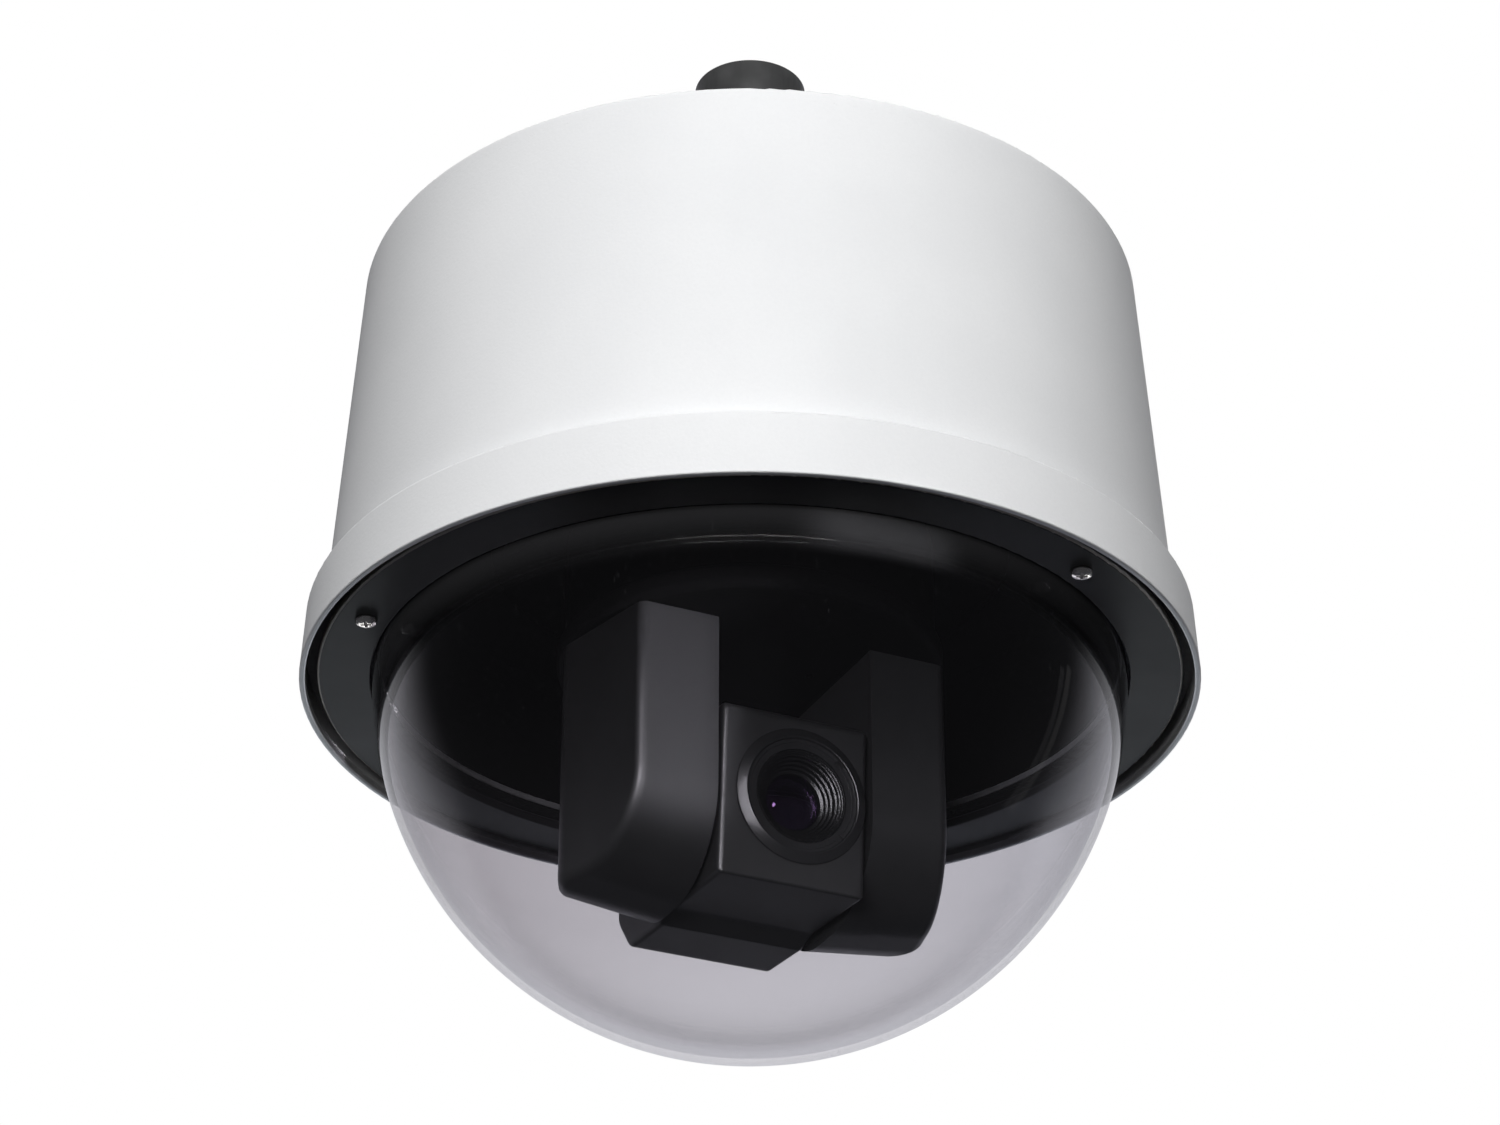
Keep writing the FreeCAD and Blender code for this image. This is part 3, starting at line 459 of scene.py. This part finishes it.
def cross_recess(depth, reach, width):
    """Two tapered bars that cut a cross recess down -Z from the origin."""
    bars = []
    for turn in (0, pi / 2):
        bar = bmesh.new()
        bmesh.ops.create_cube(bar, size=1)
        for vert in bar.verts:
            top = vert.co.z > 0
            long, wide = (1.15, 1.2) if top else (0.45, 0.8)
            vert.co = Vector((vert.co.x * 2 * reach * long, vert.co.y * width * wide, 0.6 if top else -depth))
        bar.transform(Matrix.Rotation(turn, 4, "Z"))
        bars.append(bar)
    return bars


def screw_mesh(head_r, head_h, shank_r, length):
    """Cross-recess pan-head screw, head up, seat at z 0, in millimetres; the crown is a share of the head."""
    crown = [(0, 1), (0.55, 0.97), (0.86, 0.74), (0.985, 0.38), (1, 0.08), (0.98, 0)]
    shank = [(shank_r, 0), (shank_r, -length + 0.5), (shank_r - 0.5, -length), (0, -length)]
    line = [Vector((head_r * r, head_h * h)) for r, h in crown] + [Vector(point) for point in shank]
    body = lathe(line, 48, closed=False)
    bmesh.ops.recalc_face_normals(body, faces=body.faces)
    made = in_scene("screw", mesh_data("screw", body))
    made.data.transform(Matrix.Translation((0, 0, -head_h)))
    for bar in cross_recess(head_h * 0.75, head_r * 0.5, head_r * 0.27):
        carve(made, bar)
    made.data.transform(Matrix.Translation((0, 0, head_h)))
    mesh = bmesh.new()
    mesh.from_mesh(made.data)
    bpy.data.objects.remove(made)
    return mesh


def make_ring_screws():
    """Three screws up into the ring; each has its place round the ring and its own lean of the cross."""
    head_r, shank_r, length, circle_r = 4.4, 1.9, 9.4, 161.7 * MM
    low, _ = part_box("ring_screws")
    head_h = (RING_LOW.z - low.z) / MM
    all_three = bmesh.new()
    for angle, lean in ((82, 20), (203, 65), (321, 35)):
        one = screw_mesh(head_r, head_h, shank_r, length)
        at = Matrix.Rotation(radians(angle), 4, "Z") @ Matrix.Translation((circle_r, 0, RING_LOW.z))
        millimetres(one, at @ Matrix.Rotation(radians(lean), 4, "Z") @ Matrix.Rotation(pi, 4, "X"))
        data = mesh_data("screw", one)
        all_three.from_mesh(data)
        bpy.data.meshes.remove(data)
    piece = smooth(add("cross_head_ring_screws", all_three, "root", "stainless"), 28)
    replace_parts(piece, "ring_screws")


# ---------------------------------------------------------------- lens
def make_bezel():
    """Raised lip round the lens mouth, with a spigot and a sunk ring that has two spanner notches."""
    face, lip = 36.1, 38.7
    spigot = [(19.2, 33), (20, 33), (20, face)]
    flange = [(27.4, face), (27.8, face + 0.35, 0.2), (27.4, face + 0.75, 0.2)]
    rim = [(23.9, lip - 0.3, 0.4), (23.4, lip - 0.5, 0.2)]
    ring = [(23.1, 37.2, 0.1), (21.8, 37.1), (21.6, 36.8, 0.1), (19.2, 36.7)]
    line = rounded(spigot + flange + rim + ring, 4)
    mesh = millimetres(lathe(line, 128), LENS)
    bezel = add("turned_lens_bezel", mesh, "head", "camera_shell", BEZEL_FINISH)
    for angle in (45, -43):
        notch = bmesh.new()
        bmesh.ops.create_cube(notch, size=1)
        turn = Matrix.Rotation(radians(angle), 4, "Z")
        notch.transform(turn @ Matrix.Translation((21.9, 0, 37.3)) @ Matrix.Diagonal((2.2, 3.4, 1.8, 1)))
        carve(bezel, millimetres(notch, LENS))
    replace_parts(smooth(bezel, 30), "lens_bezel")


def make_baffle():
    """Stepped black barrel inside the mouth."""
    outer, back, bore = 19.0, 25.0, 11.0
    steps = [(outer, 36.7), (18.3, 36.7), (18.0, 36.1), (17.6, 36.0), (17.3, 35.4), (16.8, 35.3),
             (16.5, 34.2), (15.7, 34.0), (15.3, 32.4), (14.5, 32.2), (14.1, 30.9), (13.3, 30.7),
             (12.9, 29.5), (11.6, 29.2), (11.2, 27.4)]
    stairs = rounded([(r, f, 0.12) for r, f in steps], 2)
    line = [Vector((outer, back))] + stairs + [Vector((bore, back))]
    barrel = add("stepped_lens_barrel", millimetres(lathe(line, 128), LENS), "head", "lens_black")
    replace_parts(smooth(barrel, 25), "lens_baffle")


def make_front_lens():
    """Coated front element: a thin plano-convex lens with polished faces."""
    r, front, bulge, thick = 11.0, 28.4, 2.4, 2.4
    ball = (r * r + bulge * bulge) / (2 * bulge)
    spread = asin(r / ball)
    cap = [k * spread / 20 for k in range(21)]
    line = [Vector((ball * sin(a), front + bulge - ball + ball * cos(a))) for a in cap]
    line += [Vector((r, front - thick)), Vector((0, front - thick))]
    mesh = millimetres(lathe(line, 96, closed=False), LENS)
    glass = smooth(add("coated_front_element", mesh, "head", "lens_glass"), 40)
    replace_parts(glass, "front_lens")


make_pipe()
make_dome()
make_ring_screws()
make_bezel()
make_baffle()
make_front_lens()

for node in NODES.values():
    if not node.hide_render:
        smooth(node, 25)


# ---------------------------------------------------------------- studio
def area_light(name, at, target, size, power, mirrored=False):
    """Softbox at a point, facing another; mirrored ones show in polished surfaces."""
    data = bpy.data.lights.new(name, "AREA")
    data.shape, data.size, data.size_y = "RECTANGLE", size[0], size[1]
    data.energy = power
    light = in_scene(name, data)
    light.location = at
    light.rotation_euler = (Vector(target) - Vector(at)).to_track_quat("-Z", "Y").to_euler()
    light.visible_camera = False
    light.visible_glossy = mirrored
    return light


def only_on(name, at, target, size, power, pieces):
    """Card that shows as a highlight on a few pieces and lights nothing else."""
    card = area_light(name, at, target, size, power, True)
    card.visible_diffuse = False
    receivers = bpy.data.collections.new(name)
    for piece in pieces:
        receivers.objects.link(bpy.data.objects[piece])
    card.light_linking.receiver_collection = receivers
    return card


def make_studio():
    """Softboxes that light the paint, and cards that only show as highlights."""
    middle, rim, head = (0, 0, RIM_Z + 0.05), (0, 0, RIM_Z), (0, 0, RIM_Z - 0.06)
    area_light("key", (0, -2.1, 1.36), middle, (0.9, 1.3), 47)
    area_light("right_fill", (1.6, -1.35, 0.75), middle, (1.0, 1.2), 7)
    area_light("back_key", (0.7, 2.1, 1.3), middle, (1.2, 1.0), 34)
    area_light("low_fill", (-0.4, -1.95, -0.6), rim, (0.7, 0.5), 16)
    area_light("left_card", (-1.15, -1.35, 0.85), middle, (0.8, 0.8), 0.8, True)
    area_light("right_strip", (1.5, 0.35, RIM_Z - 0.15), (0, 0, RIM_Z - 0.05), (0.06, 0.9), 0.03, True)
    left_arm = (-0.031, -0.061, RIM_Z - 0.031)
    beam = area_light("arm_beam", (0.9, -0.97, RIM_Z - 0.234), left_arm, (0.045, 0.09), 0.03)
    beam.data.spread = radians(1.2)

    covers = ["arm_left_shell", "arm_right_shell", "arm_inner_covers", "head_front_cover", "head_rear_cover"]
    front = (0.36, -1.65, RIM_Z + 0.1)
    only_on("camera_card", front, head, (0.7, 0.9), 19, covers + ["turned_lens_bezel", "stepped_lens_barrel"])
    only_on("crease_card", (-0.58, -1.6, RIM_Z + 0.25), head, (0.6, 0.5), 40, covers)
    only_on("lens_glint", front, head, (0.12, 0.2), 1.3, ["coated_front_element"])
    only_on("screw_card", (0, 1.5, RIM_Z - 0.75), rim, (1.6, 0.6), 8, ["cross_head_ring_screws"])
    only_on("lip_card", (0, -1.65, RIM_Z - 0.2), rim, (1.4, 0.5), 40, ["housing_skirt"])
    sky = only_on("rim_card", (0, 1.5, RIM_Z - 0.4), rim, (1.6, 0.26), 1.8, ["housing_skirt", "dome_ring"])
    sky.data.color = (0.88, 0.94, 1.0)


def make_floor():
    """Pale seamless floor well under the dome."""
    floor_r, floor_z, glow = 14, -1.3, 0.85
    mesh = bmesh.new()
    bmesh.ops.create_circle(mesh, cap_ends=True, radius=floor_r, segments=96)
    mesh.transform(Matrix.Translation((0, 0, floor_z)))
    floor = in_scene("floor", mesh_data("floor", mesh))
    s = Surface("pale_floor")
    tone = s.mix(s.noise(0.4, 3), grey(0.70), grey(0.74))
    floor.data.materials.append(s.done(s.principled(Base_Color=tone, Roughness=0.8, Emission_Color=tone,
                                                    Emission_Strength=glow)))
    floor.visible_glossy = floor.visible_diffuse = False


def make_world():
    """White to the camera; reflections see a soft backdrop behind and a dim room in front."""
    world = bpy.data.worlds.new("studio")
    world.use_nodes = True
    tree = world.node_tree
    tree.nodes.clear()

    def node(kind, inputs=None, **settings):
        return put_node(tree, kind, inputs, **settings)

    towards = node("ShaderNodeSeparateXYZ", {0: node("ShaderNodeTexCoord").outputs["Generated"]})

    def step(value, low, high):
        return node("ShaderNodeMapRange", {"Value": value, "From Min": low, "From Max": high},
                    interpolation_type="SMOOTHSTEP").outputs[0]

    def blend(share, a, b):
        return node("ShaderNodeMix", {0: share, 6: a, 7: b}, data_type="RGBA").outputs[2]

    below, behind, front = (0.05, 0.053, 0.06, 1), (0.60, 0.60, 0.64, 1), (0.055, 0.055, 0.06, 1)
    backdrop = blend(step(towards.outputs["Z"], -0.32, -0.1), below, behind)
    room = blend(step(towards.outputs["Y"], 0.3, 0.7), front, backdrop)
    path = node("ShaderNodeLightPath")
    level = node("ShaderNodeMapRange", {"Value": path.outputs["Is Diffuse Ray"], "To Min": 1.0,
                                        "To Max": 0.12}).outputs[0]
    lit = node("ShaderNodeBackground", {"Color": room, "Strength": level}).outputs[0]
    white = node("ShaderNodeBackground", {"Color": (1, 1, 1, 1), "Strength": 1.0}).outputs[0]
    seen = node("ShaderNodeMixShader", {0: path.outputs["Is Camera Ray"], 1: lit, 2: white}).outputs[0]
    node("ShaderNodeOutputWorld", {"Surface": seen})
    bpy.context.scene.world = world


def make_camera():
    """Below and in front of the housing, looking up at it."""
    data = bpy.data.cameras.new("camera")
    data.sensor_width, data.lens = 36, 90.48
    camera = in_scene("camera", data)
    camera.location = (0, -1.3503, -0.9918)
    camera.rotation_euler = (radians(90 + 29.187), 0, 0)
    bpy.context.scene.camera = camera


make_studio()
make_floor()
make_world()
make_camera()
bpy.context.scene.view_settings.view_transform = "Standard"
